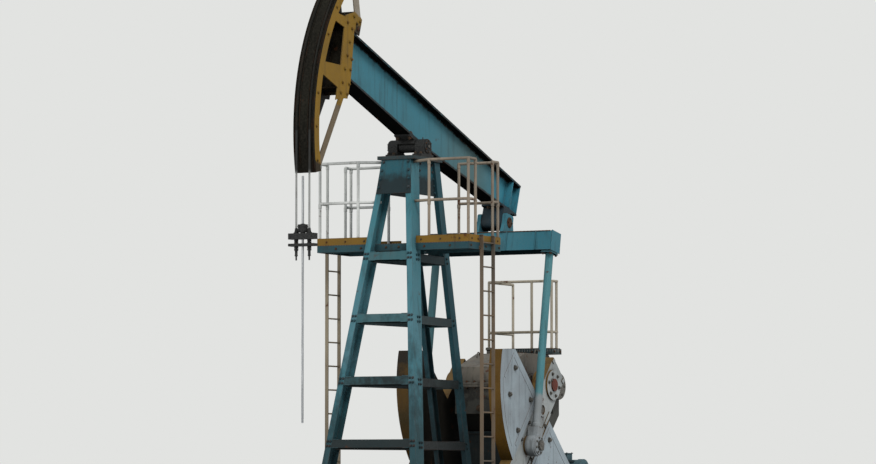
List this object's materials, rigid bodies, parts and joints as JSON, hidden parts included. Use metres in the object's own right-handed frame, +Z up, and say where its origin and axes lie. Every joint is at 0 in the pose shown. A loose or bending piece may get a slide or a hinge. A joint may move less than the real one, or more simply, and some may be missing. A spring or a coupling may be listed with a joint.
{
  "type": "pumpjack",
  "caption": "Beam pumping unit with a horse head, walking beam on a four-legged tower, crank counterweights, gearbox, drive, platform and ladders on a steel base.",
  "frame": {"origin": "on the ground under the walking beam's pivot, on the underside of the base's middle cross beam", "axes": "+X towards the well and the horse head, +Y to the near side (brake drum side), +Z up"},
  "size_m": [8.655, 2.5, 7.7494],
  "materials": {
    "blue_paint": "weathered teal-blue paint, satin",
    "dark_blue_paint": "the same paint under oil and dust",
    "yellow_paint": "ochre yellow paint, rusty at edges",
    "black_face": "black paint polished by ropes",
    "grey_paint": "grey-white paint, dusty",
    "tan_paint": "faded tan paint with rust",
    "grey_rail_paint": "light grey paint",
    "gearbox_paint": "dusty grey-brown paint",
    "motor_paint": "blue-grey paint, dusty",
    "red_paint": "red paint on the shaft's ends",
    "worn_steel": "dark worn steel sheet",
    "dark_steel": "oily dark steel",
    "rod_steel": "polished rod steel",
    "rope_steel": "greased wire rope",
    "belt_rubber": "black rubber belts"
  },
  "bodies": {
    "frame": {"base_rails": "dark_blue_paint", "base_cross_beams": "dark_blue_paint", "gearbox_pedestal": "dark_blue_paint", "tower_front_legs": "blue_paint", "tower_rear_legs": "blue_paint", "tower_ties": "blue_paint", "tower_gussets": "blue_paint", "tower_cap": "blue_paint", "saddle_bearings": "dark_steel", "platform_frame": "blue_paint", "platform_deck": "dark_blue_paint", "toe_boards": "yellow_paint", "platform_handrails": "grey_rail_paint", "ladder_stiles": "tan_paint", "ladder_rungs": "tan_paint", "gearbox_case": "gearbox_paint", "gearbox_cover": "gearbox_paint", "driven_pulley": "dark_steel", "brake_drum": "worn_steel", "motor_bearers": "dark_blue_paint", "motor": "motor_paint", "motor_pulley": "dark_steel", "drive_belts": "belt_rubber", "belt_guard": "yellow_paint", "walkway": "dark_blue_paint", "walkway_rails": "tan_paint"},
    "beam": {"walking_beam": "blue_paint", "beam_saddle": "dark_steel", "tail_bearing": "dark_steel", "head_face": "black_face", "head_side_near": "yellow_paint", "head_side_far": "yellow_paint", "head_back": "yellow_paint", "arc_ropes": "rope_steel"},
    "pitmans": {"equalizer": "blue_paint", "pitman_near": "blue_paint", "pitman_far": "blue_paint"},
    "cranks": {"crank_shaft": "red_paint", "crank_near": "grey_paint", "crank_far": "grey_paint", "counterweights_near": "grey_paint", "counterweights_far": "grey_paint"},
    "rod": {"hanger_bars": "dark_steel", "rod_clamp": "dark_steel", "polished_rod": "rod_steel", "bridle_ropes": "rope_steel"}
  },
  "joints": [
    {"name": "beam_rock", "type": "hinge", "parent": "frame", "child": "beam", "pos_m": [0, 0, 5.4], "axis": [0, -1, 0], "range_deg": [-44.5, 6.6]},
    {"name": "equalizer_swing", "type": "hinge", "parent": "beam", "child": "pitmans", "pos_m": [-2.64745, 0, 4.48841], "axis": [0, -1, 0], "range_deg": [-4.6, 30.1]},
    {"name": "crank_turn", "type": "hinge", "parent": "frame", "child": "cranks", "pos_m": [-2.89, 0, 2.12], "axis": [0, -1, 0], "range_deg": [-19.8, 132.8]},
    {"name": "rod_lift", "type": "slide", "parent": "frame", "child": "rod", "axis": [0, 0, 1], "range_m": [-2.34, 0.35], "deforming": ["bridle_ropes"]}
  ],
  "couplings": [
    {"joint": "equalizer_swing", "follows": "beam_rock", "ratio": -0.672},
    {"joint": "crank_turn", "follows": "beam_rock", "ratio": -2.982},
    {"joint": "rod_lift", "follows": "beam_rock", "m_per_rad": 3}
  ]
}
